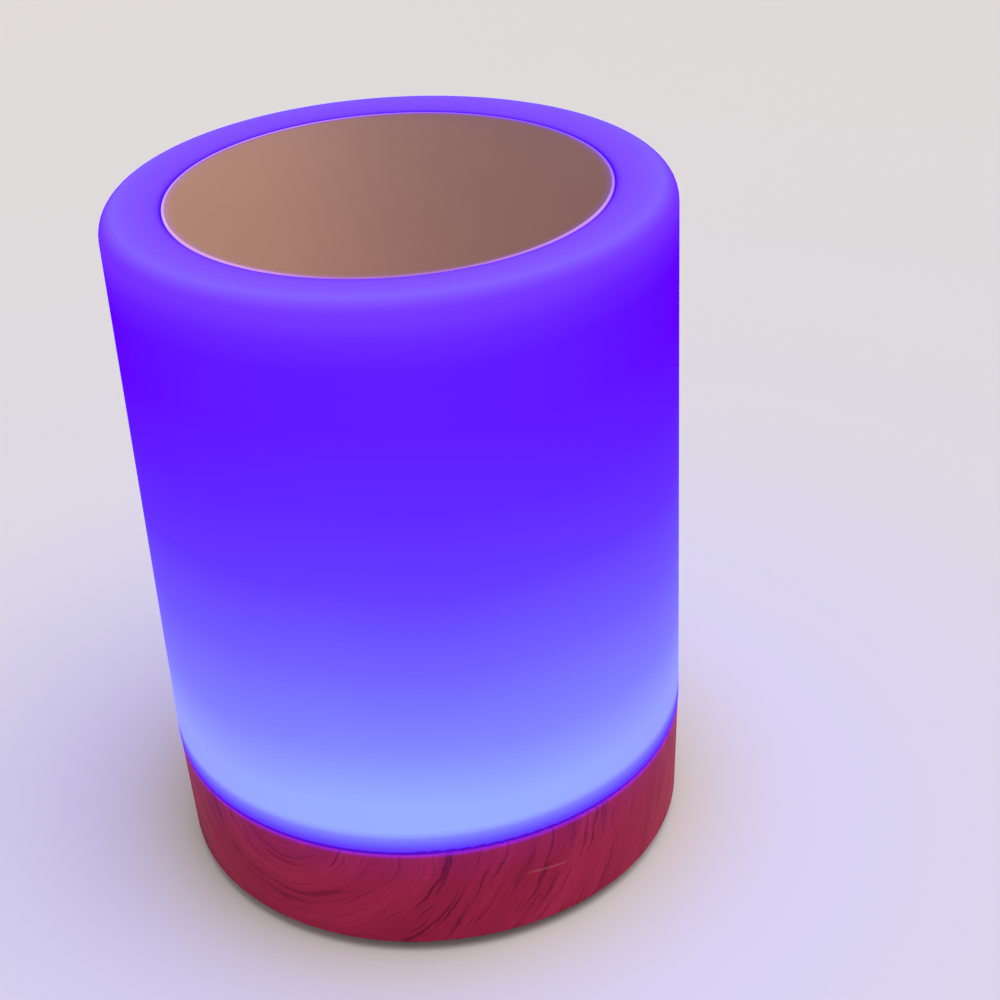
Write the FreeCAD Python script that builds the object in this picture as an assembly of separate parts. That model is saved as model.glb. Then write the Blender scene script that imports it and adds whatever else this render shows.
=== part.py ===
"""Touch-top bedside lamp: a glowing diffuser cup on a wood-grain base that holds the boards and the cell.

Millimetres, +Z up. The origin is the centre of the base, on the surface that the lamp stands on.
The charging socket, the power switch and the charge light are in the back of the base, towards +Y.
"""

import FreeCAD
import Part

import math
import os

# Overall size
LAMP_DIAMETER = 95.0
LAMP_HEIGHT = 125.0
FOOT_STAND = 2.0  # how far the feet hold the base off the surface
SEAM_Z = 23.1  # lower edge of the diffuser
SEAM_GAP = 0.3  # shadow line between the diffuser and the base

# Diffuser cup
DIFFUSER_WALL = 2.0
DIFFUSER_TOP_ROUND = 3.8
DIFFUSER_LOWER_ROUND = 0.7
CROWN_RADIUS = 42.0  # where the rim is highest
RECESS_LIP_DROP = 0.7  # how far the rim falls from there to the plate
RECESS_LIP_ROUND = 0.2
NECK_RADIUS = 44.7
NECK_WALL = 2.2
NECK_BOTTOM = 17.3
PLATE_HOLE_RADIUS = 7.0  # lets the contact spring reach the plate
SEAT_WALL = 2.0  # floor of the plate's recess

# Touch plate
PLATE_RADIUS = 36.95
PLATE_THICKNESS = 1.0
PLATE_BELOW_RIM = 0.75
PLATE_GAP = 0.25  # shadow line round the plate
PLATE_CHAMFER = 0.3
GASKET_THICKNESS = 0.5
GASKET_WIDTH = 6.0

# Wood-grain sleeve and the chassis inside it
SLEEVE_RADIUS = 47.4
SLEEVE_DRAFT = 0.7
SLEEVE_INNER = 45.0
SLEEVE_TOP_ROUND = 0.5
SLEEVE_LOWER_ROUND = 0.7
SLEEVE_LIP_INNER = 42.6
SLEEVE_LIP_BOTTOM = 3.0
SLEEVE_LIP_TOP = 4.2
CHASSIS_RADIUS = 44.7
CHASSIS_INNER = 43.0
DECK_BOTTOM = 15.5
DECK_TOP = 17.3
PILOT_PLAY = 0.05  # between a screw's shank and its pilot hole

# Bottom cover and feet
COVER_RADIUS = 44.7
COVER_STEP_RADIUS = 42.4
COVER_STEP_Z = 2.9
COVER_TOP = 4.4
FOOT_RADIUS = 6.0
FOOT_CIRCLE = 34.0
FOOT_POCKET = 0.6
FOOT_ROUND = 0.6

# Snap hooks that hold the diffuser in the chassis
HOOK_WIDTH = 8.0
HOOK_INNER = 41.2
HOOK_OUTER = 42.6
HOOK_TIP = 43.6
HOOK_BOTTOM = 13.4
HOOK_PLAY = 0.3
HOOK_ANGLES = (45, 135, 225, 315)

# Light board
LED_BOARD_RADIUS = 38.0
LED_BOARD_Z = 18.1
LED_BOARD_THICKNESS = 1.2
RGB_CIRCLE = 28.0
WHITE_CIRCLE = 19.0
LED_COUNT = 12
REFLECTOR_FOOT = 38.4
REFLECTOR_MOUTH = 41.6
REFLECTOR_TOP = 23.0
REFLECTOR_WALL = 1.0

# Touch contact on the lamp's axis
COLUMN_RADIUS = 4.0
COLUMN_BORE = 2.8
COLUMN_TOP = 121.5
COLUMN_FOOT_RADIUS = 7.0
COLUMN_FOOT_HEIGHT = 1.5
ROD_RADIUS = 1.0
ROD_BOTTOM = 16.6
ROD_TOP = 116.0
ROD_CUP_RADIUS = 2.6
ROD_CUP_HEIGHT = 1.0
SPRING_COIL_RADIUS = 2.0
SPRING_WIRE_RADIUS = 0.3
SPRING_TURNS = 5

# Control board, a half moon that reaches to the back wall
BOARD_RADIUS = 42.4
BOARD_FRONT_Y = 7.0
BOARD_Z = 9.4
BOARD_THICKNESS = 1.2

# Charging socket
SOCKET_WIDTH = 7.6
SOCKET_HEIGHT = 2.8
SOCKET_DEPTH = 5.6
SOCKET_SHEET = 0.35
SOCKET_MOUTH_Y = 45.4
PORT_WIDTH = 9.6
PORT_HEIGHT = 4.0

# Power switch, turned away from the socket
SWITCH_ANGLE = -20.0
SWITCH_TRAVEL = 3.0
SWITCH_BODY = (9.2, 4.0, 3.8)  # along the wall, through it, up
SWITCH_BODY_BACK = 38.2
KNOB_CAP = (4.6, 1.3, 2.8)
KNOB_CAP_BACK = 45.7
KNOB_STEM_WIDTH = 2.0
KNOB_STEM_HEIGHT = 1.6
KNOB_PLAY = 0.3

# Charge light
PIPE_ANGLE = 17.0
PIPE_RADIUS = 1.25
PIPE_PLAY = 0.1
PIPE_BACK = 41.0
PIPE_FLANGE = (4.6, 0.8, 3.0)  # stands on the control board

# Cell
CELL = (46.0, 30.0, 8.0)
CELL_LEFT = -24.0
CELL_FRONT = -31.5
CELL_PAD = 1.0
STRIP_WIDTH = 3.0
LEAD_RADIUS = 0.6
SOLDER_Y = 9.0

# Screws: where they are, as (radius, angle), and their sizes
COVER_SCREWS = [(38.5, angle) for angle in (30, 150, 210, 330)]
PAD_RADIUS = 2.7  # stands the light board off the deck
LED_BOARD_SCREWS = [(35.2, angle) for angle in (20, 160, 270)]
BOARD_SCREWS = [(28.6, 25), (28.6, 155), (31.0, 90)]
COVER_SCREW = {"head": 2.8, "head_height": 1.6, "shank": 1.4, "length": 9.0}
LED_BOARD_SCREW = {"head": 2.3, "head_height": 1.5, "shank": 1.2, "length": 6.0}
BOARD_SCREW = {"head": 1.9, "head_height": 1.3, "shank": 1.0, "length": 5.5}
BOSS_WALL = 1.9
COVER_BOSS_BOTTOM = 6.1
COVER_PAD_RADIUS = 4.6
COVER_HEAD_SEAT = 4.0

LAMP_RADIUS = LAMP_DIAMETER / 2
SLEEVE_TOP = SEAM_Z - SEAM_GAP
PLATE_TOP = LAMP_HEIGHT - PLATE_BELOW_RIM
PLATE_BOTTOM = PLATE_TOP - PLATE_THICKNESS
SEAT_TOP = PLATE_BOTTOM - GASKET_THICKNESS
LED_BOARD_TOP = LED_BOARD_Z + LED_BOARD_THICKNESS
BOARD_TOP = BOARD_Z + BOARD_THICKNESS
CELL_BOTTOM = COVER_TOP + CELL_PAD
PORT_Z = BOARD_TOP + SOCKET_HEIGHT / 2
KNOB_Z = BOARD_TOP + SWITCH_BODY[2] / 2
UP = FreeCAD.Vector(0, 0, 1)
AXIS = FreeCAD.Vector(0, 0, 0)


def polar(radius, degrees, z=0.0):
    """The point at that radius and angle about the lamp's axis."""
    turn = math.radians(degrees)
    return FreeCAD.Vector(radius * math.cos(turn), radius * math.sin(turn), z)


def rod(radius, z0, z1, at=AXIS):
    """An upright cylinder from z0 to z1."""
    return Part.makeCylinder(radius, z1 - z0, FreeCAD.Vector(at.x, at.y, z0))


def ring(outer, inner, z0, z1, at=AXIS):
    """An upright tube from z0 to z1."""
    return rod(outer, z0, z1, at).cut(rod(inner, z0, z1, at))


def block(size, centre_x, y0, z0):
    """A box that is centred on x and starts at y0 and z0."""
    return Part.makeBox(*size, FreeCAD.Vector(centre_x - size[0] / 2, y0, z0))


def turned(shape, degrees):
    """A copy of the shape, turned about the lamp's axis."""
    copy = shape.copy()
    copy.rotate(AXIS, UP, degrees)
    return copy


def joined(shapes):
    """One solid made of shapes that overlap."""
    return shapes[0].multiFuse(shapes[1:]).removeSplitter()


def rounded(shape, size, *circles):
    """The shape with a fillet on each round edge given as (radius, z)."""
    edges = [
        edge
        for edge in shape.Edges
        for radius, z in circles
        if isinstance(edge.Curve, Part.Circle)
        and abs(edge.Curve.Radius - radius) < 1e-3
        and abs(edge.Curve.Center.z - z) < 1e-3
    ]
    return shape.makeFillet(size, edges)


def upright_edges(shape):
    """The straight edges that run along Z."""
    lines = [edge for edge in shape.Edges if isinstance(edge.Curve, Part.Line)]
    return [edge for edge in lines if abs(edge.Curve.Direction.z) > 0.999]


def slot(width, height, y0, y1, z):
    """A cutter through the back wall, with round ends and its middle at that z."""
    radius = height / 2
    reach = width / 2 - radius
    into = FreeCAD.Vector(0, 1, 0)
    ends = [
        Part.makeCylinder(radius, y1 - y0, FreeCAD.Vector(x, y0, z), into)
        for x in (-reach, reach)
    ]
    if reach < 1e-6:
        return ends[0]
    return joined([*ends, block((2 * reach, y1 - y0, height), 0, y0, z - radius)])


def screw(size, at, seat_z, downwards):
    """A pan-head screw with a cross recess. Its head sits on seat_z and its shank goes down or up."""
    head = rod(size["head"], 0, size["head_height"])
    head = rounded(head, size["head_height"] * 0.4, (size["head"], size["head_height"]))
    arm = size["head"] * 1.1
    for shape in ((arm, 0.5), (0.5, arm)):
        recess = Part.makeBox(*shape, 1.0, FreeCAD.Vector(-shape[0] / 2, -shape[1] / 2, 0))
        recess.translate(FreeCAD.Vector(0, 0, size["head_height"] - 0.7))
        head = head.cut(recess)
    tip = size["shank"]
    shank = rod(size["shank"], tip - size["length"], 0)
    point = Part.makeCone(0.3, size["shank"], tip, FreeCAD.Vector(0, 0, -size["length"]))
    whole = joined([head, shank, point])
    if not downwards:
        whole.rotate(AXIS, FreeCAD.Vector(1, 0, 0), 180)
    whole.translate(FreeCAD.Vector(at.x, at.y, seat_z))
    return whole


def lead(points, radius):
    """A wire along straight runs joined by tangent arcs."""
    edges = []
    last = points[0]
    for before, corner, after in zip(points, points[1:], points[2:]):
        coming = (corner - before).normalize()
        going = (after - corner).normalize()
        half = coming.getAngle(going) / 2
        trim = 0.45 * min((corner - before).Length, (after - corner).Length)
        start = corner - coming * trim
        end = corner + going * trim
        sagitta = (trim / math.tan(half)) * (1 / math.cos(half) - 1)
        middle = corner + ((start + end) * 0.5 - corner).normalize() * sagitta
        edges += [Part.LineSegment(last, start).toShape(), Part.Arc(start, middle, end).toShape()]
        last = end
    edges.append(Part.LineSegment(last, points[-1]).toShape())
    start_way = (points[1] - points[0]).normalize()
    section = Part.Wire([Part.Circle(points[0], start_way, radius).toShape()])
    return Part.Wire(edges).makePipeShell([section], True, False)


def diffuser():
    """The milky cup, with the plate's recess in its top and a neck with snap hooks below."""
    inner_radius = LAMP_RADIUS - DIFFUSER_WALL
    ceiling = SEAT_TOP - SEAT_WALL
    flare = inner_radius - (NECK_RADIUS - NECK_WALL)
    shoulder = SEAM_Z + DIFFUSER_WALL
    outside = rod(LAMP_RADIUS, SEAM_Z, LAMP_HEIGHT)
    outside = rounded(outside, DIFFUSER_TOP_ROUND, (LAMP_RADIUS, LAMP_HEIGHT))
    outside = rounded(outside, DIFFUSER_LOWER_ROUND, (LAMP_RADIUS, SEAM_Z))
    inside = rod(inner_radius, shoulder + flare, ceiling)
    inside = rounded(inside, DIFFUSER_TOP_ROUND - 0.8, (inner_radius, ceiling))
    throat = Part.makeCone(
        NECK_RADIUS - NECK_WALL, inner_radius, flare, FreeCAD.Vector(0, 0, shoulder)
    )
    recess = rod(PLATE_RADIUS + PLATE_GAP, SEAT_TOP, LAMP_HEIGHT + 1)
    cup = outside.fuse(rod(NECK_RADIUS, NECK_BOTTOM, shoulder))
    cup = cup.cut(joined([inside, throat, rod(NECK_RADIUS - NECK_WALL, NECK_BOTTOM - 1, shoulder)]))
    cup = cup.cut(recess).cut(rod(PLATE_HOLE_RADIUS, ceiling - 1, LAMP_HEIGHT))
    cup = cup.cut(crown_cutter())
    cup = rounded(cup, RECESS_LIP_ROUND, (PLATE_RADIUS + PLATE_GAP, LAMP_HEIGHT - RECESS_LIP_DROP))
    return joined([cup, *[turned(snap_hook(), angle - 90) for angle in HOOK_ANGLES]])


def crown_cutter():
    """What is taken off the rim so that it falls in a gentle curve towards the plate."""
    hole = PLATE_RADIUS + PLATE_GAP
    run = CROWN_RADIUS - hole
    curve = (run * run + RECESS_LIP_DROP * RECESS_LIP_DROP) / (2 * RECESS_LIP_DROP)
    half_turn = math.asin(run / curve) / 2
    low = FreeCAD.Vector(hole, 0, LAMP_HEIGHT - RECESS_LIP_DROP)
    crown = FreeCAD.Vector(CROWN_RADIUS, 0, LAMP_HEIGHT)
    middle = crown + FreeCAD.Vector(-curve * math.sin(half_turn), 0, -curve * (1 - math.cos(half_turn)))
    above = FreeCAD.Vector(hole - 1, 0, LAMP_HEIGHT + 1)
    sides = [crown, FreeCAD.Vector(CROWN_RADIUS, 0, above.z), above, FreeCAD.Vector(above.x, 0, low.z), low]
    edges = [Part.Arc(low, middle, crown).toShape()]
    edges += [Part.LineSegment(start, end).toShape() for start, end in zip(sides, sides[1:])]
    return Part.Face(Part.Wire(edges)).revolve(AXIS, UP, 360)


def snap_hook():
    """One hook, as it lies at the back of the lamp."""
    into_neck = 0.6
    root_depth = NECK_RADIUS - NECK_WALL + into_neck - HOOK_INNER
    root = block((HOOK_WIDTH, root_depth, 3.0), 0, HOOK_INNER, NECK_BOTTOM)
    arm_height = NECK_BOTTOM - HOOK_BOTTOM
    arm = block((HOOK_WIDTH, HOOK_OUTER - HOOK_INNER, arm_height), 0, HOOK_INNER, HOOK_BOTTOM)
    corners = [(HOOK_OUTER, HOOK_BOTTOM), (HOOK_TIP, HOOK_BOTTOM + 1.2), (HOOK_OUTER, HOOK_BOTTOM + 1.6)]
    outline = [FreeCAD.Vector(-HOOK_WIDTH / 2, y, z) for y, z in [*corners, corners[0]]]
    barb = Part.Face(Part.makePolygon(outline)).extrude(FreeCAD.Vector(HOOK_WIDTH, 0, 0))
    return joined([root, arm, barb])


def touch_plate():
    """The metal disc that is touched, with a bright chamfer round both faces."""
    plate = rod(PLATE_RADIUS, PLATE_BOTTOM, PLATE_TOP)
    rims = [edge for edge in plate.Edges if isinstance(edge.Curve, Part.Circle)]
    return plate.makeChamfer(PLATE_CHAMFER, rims)


def plate_gasket():
    """The foam tape that bonds the plate to its seat."""
    outer = PLATE_RADIUS - 0.5
    return ring(outer, outer - GASKET_WIDTH, SEAT_TOP, PLATE_BOTTOM)


def touch_column():
    """The clear tube that steadies the contact rod."""
    tube = rod(COLUMN_RADIUS, LED_BOARD_TOP, COLUMN_TOP)
    foot = rod(COLUMN_FOOT_RADIUS, LED_BOARD_TOP, LED_BOARD_TOP + COLUMN_FOOT_HEIGHT)
    return tube.fuse(foot).cut(rod(COLUMN_BORE, LED_BOARD_TOP, COLUMN_TOP))


def contact_rod():
    """The brass rod that carries the touch signal, with a cup for the spring."""
    cup = rod(ROD_CUP_RADIUS, ROD_TOP, ROD_TOP + ROD_CUP_HEIGHT)
    cup = cup.cut(rod(ROD_CUP_RADIUS - 0.2, ROD_TOP + 0.5, ROD_TOP + ROD_CUP_HEIGHT))
    return rod(ROD_RADIUS, ROD_BOTTOM, ROD_TOP).fuse(cup)


def touch_spring():
    """The contact spring, pressed between the rod's cup and the plate."""
    low = ROD_TOP + 0.5 + SPRING_WIRE_RADIUS
    high = PLATE_BOTTOM - SPRING_WIRE_RADIUS
    height = high - low
    path = Part.makeHelix(height / SPRING_TURNS, height, SPRING_COIL_RADIUS)
    start = FreeCAD.Vector(SPRING_COIL_RADIUS, 0, 0)
    section = Part.Wire([Part.Circle(start, FreeCAD.Vector(0, 1, 0), SPRING_WIRE_RADIUS).toShape()])
    coil = Part.Wire(path).makePipeShell([section], True, True)
    coil.translate(FreeCAD.Vector(0, 0, low))
    return coil


def led_board():
    """The round light board, drilled for its screws and the contact rod."""
    board = rod(LED_BOARD_RADIUS, LED_BOARD_Z, LED_BOARD_TOP)
    board = board.cut(rod(ROD_RADIUS + 0.2, LED_BOARD_Z, LED_BOARD_TOP))
    for place in LED_BOARD_SCREWS:
        board = board.cut(rod(LED_BOARD_SCREW["shank"] + 0.2, LED_BOARD_Z, LED_BOARD_TOP, polar(*place)))
    return board


def rgb_leds():
    """The ring of colour emitters, each with a round lens well and a cut corner."""
    side, height, well = 5.0, 1.6, 2.0
    package = Part.makeBox(side, side, height, FreeCAD.Vector(-side / 2, -side / 2, 0))
    package = package.cut(rod(well, height - 0.3, height))
    corner = [edge for edge in upright_edges(package) if edge.BoundBox.XMax > 2 and edge.BoundBox.YMax > 2]
    package = package.makeChamfer(0.7, corner)
    return on_circle(package, RGB_CIRCLE, 15)


def white_leds():
    """The inner ring of warm white emitters."""
    package = Part.makeBox(3.5, 2.8, 0.8, FreeCAD.Vector(-1.75, -1.4, 0))
    return on_circle(package.cut(rod(1.1, 0.6, 0.8)), WHITE_CIRCLE, 0)


def on_circle(package, radius, first_angle):
    """A package laid on the light board at even steps round a circle."""
    laid = []
    for step in range(LED_COUNT):
        copy = package.copy()
        copy.translate(FreeCAD.Vector(radius, 0, LED_BOARD_TOP))
        laid.append(turned(copy, first_angle + step * 360 / LED_COUNT))
    return Part.makeCompound(laid)


def reflector_ring():
    """The white cone that throws the board's light up the diffuser."""
    height = REFLECTOR_TOP - LED_BOARD_Z
    origin = FreeCAD.Vector(0, 0, LED_BOARD_Z)
    outside = Part.makeCone(REFLECTOR_FOOT + REFLECTOR_WALL, REFLECTOR_MOUTH + 0.2, height, origin)
    outside = outside.fuse(rod(REFLECTOR_FOOT + 2.4, DECK_TOP, LED_BOARD_Z + 0.4))
    inside = Part.makeCone(REFLECTOR_FOOT, REFLECTOR_MOUTH - REFLECTOR_WALL, height, origin)
    return outside.cut(inside).cut(rod(REFLECTOR_FOOT, DECK_TOP, LED_BOARD_Z + 0.01))


def base_sleeve():
    """The outer sleeve with the wood-grain finish and its openings at the back."""
    height = SLEEVE_TOP - FOOT_STAND
    bottom_radius = SLEEVE_RADIUS - SLEEVE_DRAFT
    body = Part.makeCone(bottom_radius, SLEEVE_RADIUS, height, FreeCAD.Vector(0, 0, FOOT_STAND))
    body = rounded(body, SLEEVE_TOP_ROUND, (SLEEVE_RADIUS, SLEEVE_TOP))
    body = rounded(body, SLEEVE_LOWER_ROUND, (bottom_radius, FOOT_STAND))
    body = body.cut(rod(SLEEVE_LIP_INNER, FOOT_STAND, SLEEVE_TOP))
    body = body.cut(rod(SLEEVE_INNER, FOOT_STAND, SLEEVE_LIP_BOTTOM))
    body = body.cut(rod(SLEEVE_INNER, SLEEVE_LIP_TOP, SLEEVE_TOP))
    body = body.cut(slot(PORT_WIDTH, PORT_HEIGHT, SLEEVE_INNER - 4, LAMP_RADIUS + 1, PORT_Z))
    window_width = KNOB_CAP[0] + SWITCH_TRAVEL + 3 * KNOB_PLAY
    window = slot(window_width, KNOB_CAP[2] + 2 * KNOB_PLAY, SLEEVE_INNER - 4, LAMP_RADIUS + 1, KNOB_Z)
    return body.cut(turned(window, SWITCH_ANGLE)).cut(pipe_hole())


def pipe_hole():
    """The cutter for the charge light's pipe."""
    width = 2 * (PIPE_RADIUS + PIPE_PLAY)
    return turned(slot(width, width, PIPE_BACK, LAMP_RADIUS + 1, PORT_Z), PIPE_ANGLE)


def boss(shank, place, z0):
    """A screw boss that hangs from the deck, with its pilot hole."""
    return ring(shank + BOSS_WALL, shank + PILOT_PLAY, z0, DECK_BOTTOM + 0.2, polar(*place))


def base_chassis():
    """The inner frame: an outer wall, a deck for the light board and bosses for every screw."""
    frame = ring(CHASSIS_RADIUS, CHASSIS_INNER, SLEEVE_LIP_TOP, DECK_TOP)
    deck = rod(CHASSIS_INNER + 0.2, DECK_BOTTOM, DECK_TOP)
    pads = [
        ring(PAD_RADIUS, LED_BOARD_SCREW["shank"] + PILOT_PLAY, DECK_TOP - 0.2, LED_BOARD_Z, polar(*place))
        for place in LED_BOARD_SCREWS
    ]
    for place in LED_BOARD_SCREWS:
        deck = deck.cut(rod(LED_BOARD_SCREW["shank"] + PILOT_PLAY, DECK_BOTTOM, DECK_TOP, polar(*place)))
    hanging = [boss(COVER_SCREW["shank"], place, COVER_BOSS_BOTTOM) for place in COVER_SCREWS]
    hanging += [boss(LED_BOARD_SCREW["shank"], place, 12.8) for place in LED_BOARD_SCREWS]
    hanging += [boss(BOARD_SCREW["shank"], place, BOARD_TOP) for place in BOARD_SCREWS]
    frame = joined([frame, deck, *pads, *hanging])
    frame = frame.cut(rod(ROD_RADIUS + 1.5, DECK_BOTTOM, DECK_TOP))
    frame = frame.cut(block((13.0, 6.0, 3.0), 0, 10.0, DECK_BOTTOM - 0.5))
    for angle in HOOK_ANGLES:
        deck_slot = block((HOOK_WIDTH + 1, 2.2, 3.0), 0, HOOK_INNER - 0.3, DECK_BOTTOM - 0.5)
        window = block((HOOK_WIDTH + 1, 3.0, 2.2), 0, CHASSIS_INNER - 0.6, HOOK_BOTTOM - HOOK_PLAY)
        frame = frame.cut(turned(deck_slot, angle - 90)).cut(turned(window, angle - 90))
    socket_hole = block((SOCKET_WIDTH + 0.6, 5.0, SOCKET_HEIGHT + 0.6), 0, 41.0, BOARD_TOP - 0.3)
    stem_room = (KNOB_STEM_WIDTH + SWITCH_TRAVEL + 3 * KNOB_PLAY, 4.0, KNOB_STEM_HEIGHT + 2 * KNOB_PLAY)
    stem_slot = block(stem_room, 0, CHASSIS_INNER - 2, KNOB_Z - stem_room[2] / 2)
    return frame.cut(socket_hole).cut(turned(stem_slot, SWITCH_ANGLE)).cut(pipe_hole())


def bottom_cover():
    """The plate that closes the base, with screw wells, foot pockets and ribs round the cell."""
    cover = rod(COVER_RADIUS, FOOT_STAND, COVER_STEP_Z)
    cover = rounded(cover, 0.4, (COVER_RADIUS, FOOT_STAND))
    cover = cover.fuse(rod(COVER_STEP_RADIUS, COVER_STEP_Z - 0.1, COVER_TOP))
    pads = [
        rod(COVER_PAD_RADIUS, COVER_TOP - 0.2, COVER_BOSS_BOTTOM, polar(radius, angle)).common(
            rod(COVER_STEP_RADIUS, COVER_TOP - 0.2, COVER_BOSS_BOTTOM)
        )
        for radius, angle in COVER_SCREWS
    ]
    rib_depth = CELL[1] * 0.6
    rib_y = CELL_FRONT + CELL[1] / 2 - rib_depth / 2
    ribs = [
        block((1.2, rib_depth, 3.2), x, rib_y, COVER_TOP - 0.2)
        for x in (CELL_LEFT - 1.0, CELL_LEFT + CELL[0] + STRIP_WIDTH + 1.0)
    ]
    cover = joined([cover, *pads, *ribs])
    for place in COVER_SCREWS:
        at = polar(*place)
        cover = cover.cut(rod(COVER_SCREW["head"] + 0.4, FOOT_STAND, COVER_HEAD_SEAT, at))
        cover = cover.cut(rod(COVER_SCREW["shank"] + 0.2, FOOT_STAND, COVER_BOSS_BOTTOM, at))
    for angle in (0, 90, 180, 270):
        pocket = rod(FOOT_RADIUS + 0.15, FOOT_STAND, FOOT_STAND + FOOT_POCKET, polar(FOOT_CIRCLE, angle))
        cover = cover.cut(pocket)
    return cover


def rubber_feet():
    """Four round pads, bonded into the cover's pockets."""
    pad = rounded(rod(FOOT_RADIUS, 0, FOOT_STAND + FOOT_POCKET), FOOT_ROUND, (FOOT_RADIUS, 0))
    feet = []
    for angle in (0, 90, 180, 270):
        foot = pad.copy()
        foot.translate(polar(FOOT_CIRCLE, angle))
        feet.append(foot)
    return Part.makeCompound(feet)


def control_board():
    """The half-moon board, notched round the cover's bosses."""
    board = rod(BOARD_RADIUS, BOARD_Z, BOARD_TOP)
    front = block((2 * BOARD_RADIUS, BOARD_RADIUS + BOARD_FRONT_Y, 2.0), 0, -BOARD_RADIUS, BOARD_Z - 0.4)
    board = board.cut(front)
    notch = COVER_SCREW["shank"] + BOSS_WALL + 0.6
    for radius, angle in COVER_SCREWS[:2]:
        board = board.cut(rod(notch, BOARD_Z, BOARD_TOP, polar(radius, angle)))
        way_out = block((2 * notch, BOARD_RADIUS, BOARD_THICKNESS), 0, radius, BOARD_Z)
        board = board.cut(turned(way_out, angle - 90))
    for place in BOARD_SCREWS:
        board = board.cut(rod(BOARD_SCREW["shank"] + 0.15, BOARD_Z, BOARD_TOP, polar(*place)))
    return board


def on_board(size, x, y, z=BOARD_TOP):
    """A box on the control board, centred on x and y."""
    return Part.makeBox(*size, FreeCAD.Vector(x - size[0] / 2, y - size[1] / 2, z))


def control_chips():
    """The controller, the charger and three drivers, each with its rows of pins."""
    chips = []
    for size, x, y in (((7, 7, 1.0), -12, 17), ((5, 4, 1.4), 9, 22), ((3, 3, 1.0), -6, 25)):
        body = on_board(size, x, y, BOARD_TOP + 0.1)
        body = body.makeChamfer(0.25, [e for e in body.Edges if e.BoundBox.ZMin > BOARD_TOP + 0.5])
        pins = [
            on_board((0.4, size[1] + 1.4, 0.2), x + offset * 1.0, y)
            for offset in range(-int(size[0] / 2) + 1, int(size[0] / 2))
        ]
        chips.append(joined([body, *pins]))
    chips += [on_board((2.9, 1.6, 1.1), x, 29) for x in (-21, -16.5, 17)]
    return Part.makeCompound(chips)


def small_parts():
    """Resistors and ceramic capacitors in short rows on the control board."""
    rows = [(-18, 12), (-18, 14), (5, 17), (7.4, 17), (9.8, 17), (12.2, 17), (-6, 33), (-14, 33)]
    return Part.makeCompound([on_board((1.6, 0.8, 0.6), x, y) for x, y in rows])


def power_inductor():
    """The boost coil's square ferrite with its round winding window."""
    body = on_board((6, 6, 2.8), 18, 22)
    body = body.makeFillet(0.8, upright_edges(body))
    groove = ring(2.6, 2.2, BOARD_TOP + 2.4, BOARD_TOP + 2.8, FreeCAD.Vector(18, 22, 0))
    return body.cut(groove)


def filter_capacitors():
    """Two can capacitors on their square feet."""
    cans = []
    for x in (-24.0, -18.5):
        at = FreeCAD.Vector(x, 23.0, 0)
        can = rounded(rod(2.1, BOARD_TOP + 0.5, BOARD_TOP + 4.2, at), 0.4, (2.1, BOARD_TOP + 4.2))
        cans.append(can.fuse(on_board((4.4, 4.4, 0.8), x, 23.0)))
    return Part.makeCompound(cans)


def charge_socket():
    """The folded metal shell of the charging socket, open to the back."""
    corner = 0.9

    def tapered(width, height, depth, y0):
        half = width / 2
        low = PORT_Z - height / 2
        high = PORT_Z + height / 2
        outline = [(-half, high), (half, high), (half, low + corner), (half - corner, low)]
        outline += [(corner - half, low), (-half, low + corner), (-half, high)]
        wire = Part.makePolygon([FreeCAD.Vector(x, y0, z) for x, z in outline])
        return Part.Face(wire).extrude(FreeCAD.Vector(0, depth, 0))

    back = SOCKET_MOUTH_Y - SOCKET_DEPTH
    shell = tapered(SOCKET_WIDTH, SOCKET_HEIGHT, SOCKET_DEPTH, back)
    cavity = tapered(
        SOCKET_WIDTH - 2 * SOCKET_SHEET,
        SOCKET_HEIGHT - 2 * SOCKET_SHEET,
        SOCKET_DEPTH,
        back + SOCKET_SHEET,
    )
    return shell.cut(cavity)


def socket_tongue():
    """The contact tongue inside the socket."""
    back = SOCKET_MOUTH_Y - SOCKET_DEPTH + SOCKET_SHEET
    root = block((5.6, 1.2, 1.5), 0, back, PORT_Z - 0.75)
    return joined([root, block((3.8, 4.2, 0.6), 0, back, PORT_Z - 0.1)])


def switch_body():
    """The slide switch's case, with the slot that its stem runs in."""
    case = block(SWITCH_BODY, 0, SWITCH_BODY_BACK, BOARD_TOP)
    travel_slot = block(
        (KNOB_STEM_WIDTH + SWITCH_TRAVEL + 2 * KNOB_PLAY, 2.5, KNOB_STEM_HEIGHT + 2 * KNOB_PLAY),
        0,
        SWITCH_BODY_BACK + SWITCH_BODY[1] - 1.6,
        KNOB_Z - KNOB_STEM_HEIGHT / 2 - KNOB_PLAY,
    )
    return turned(case.cut(travel_slot), SWITCH_ANGLE)


def switch_knob():
    """The sliding knob at its on position, with ridges for a fingertip."""
    width, depth, height = KNOB_CAP
    on_side = -SWITCH_TRAVEL / 2
    cap = slot(width, height, KNOB_CAP_BACK, KNOB_CAP_BACK + depth, KNOB_Z)
    cap = cap.makeFillet(0.3, [e for e in cap.Edges if e.BoundBox.YMin > KNOB_CAP_BACK + 0.1])
    cap.translate(FreeCAD.Vector(on_side, 0, 0))
    for offset in (-1.2, -0.4, 0.4, 1.2):
        groove = block((0.35, 1.0, height), on_side + offset, KNOB_CAP_BACK + depth - 0.3, KNOB_Z - height / 2)
        cap = cap.cut(groove)
    stem_back = SWITCH_BODY_BACK + SWITCH_BODY[1] - 1.2
    stem_size = (KNOB_STEM_WIDTH, KNOB_CAP_BACK + 0.2 - stem_back, KNOB_STEM_HEIGHT)
    stem = block(stem_size, on_side, stem_back, KNOB_Z - KNOB_STEM_HEIGHT / 2)
    return turned(joined([cap, stem]), SWITCH_ANGLE)


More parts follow.
